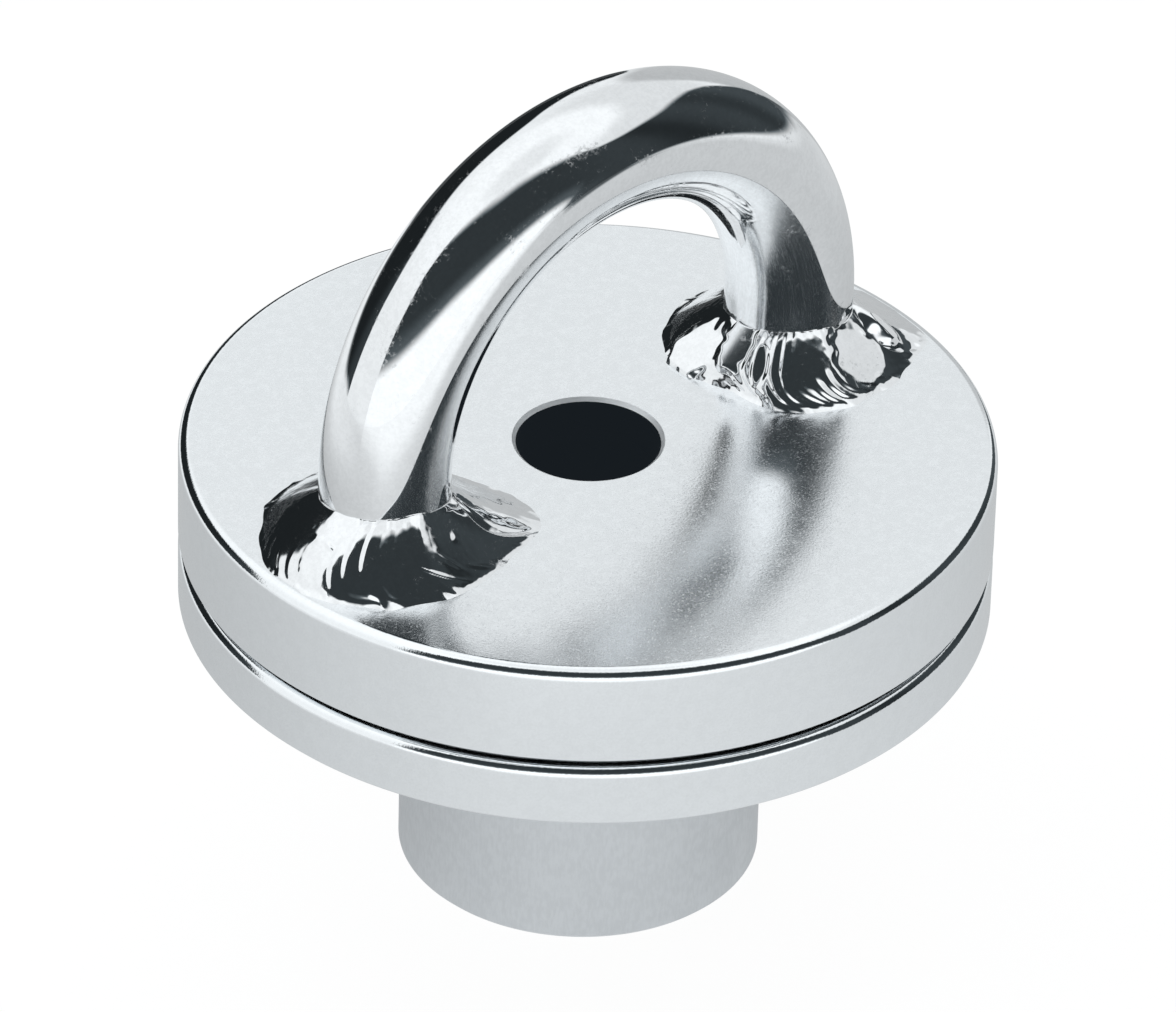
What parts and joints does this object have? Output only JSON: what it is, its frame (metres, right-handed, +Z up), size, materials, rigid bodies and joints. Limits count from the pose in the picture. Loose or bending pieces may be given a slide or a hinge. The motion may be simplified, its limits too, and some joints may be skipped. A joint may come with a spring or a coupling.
{
  "type": "swivelling pad eye",
  "caption": "Round deck plate with a half-round welded bail that turns on a flange, over a pipe hub that fills the hole in the deck.",
  "frame": {"origin": "on the swivel's axis in the deck plane, which is the flange's underside", "axes": "+Z up along the swivel's axis, out of the deck; the bail stands in the XZ plane"},
  "size_m": [0.075, 0.075, 0.0816],
  "materials": {
    "polished_steel": "polished",
    "satin_steel": "satin",
    "mill_steel": "satin",
    "turned_steel": "satin",
    "weld_metal": "polished",
    "bush_bronze": "satin",
    "washer_acetal": "satin"
  },
  "bodies": {
    "base": {"deck_flange": "satin_steel", "hub_tube": "mill_steel", "hub_weld": "weld_metal", "pivot_bush": "bush_bronze", "thrust_washer": "washer_acetal"},
    "eye": {"eye_plate": "satin_steel", "pivot_screw": "turned_steel", "lower_thrust_washer": "washer_acetal", "eye_bail": "polished_steel", "bail_weld_left": "weld_metal", "bail_weld_right": "weld_metal"}
  },
  "joints": [
    {"name": "eye_swivel", "type": "hinge", "parent": "base", "child": "eye", "pos_m": [0, 0, 0.0065], "axis": [0, 0, 1], "continuous": true}
  ]
}
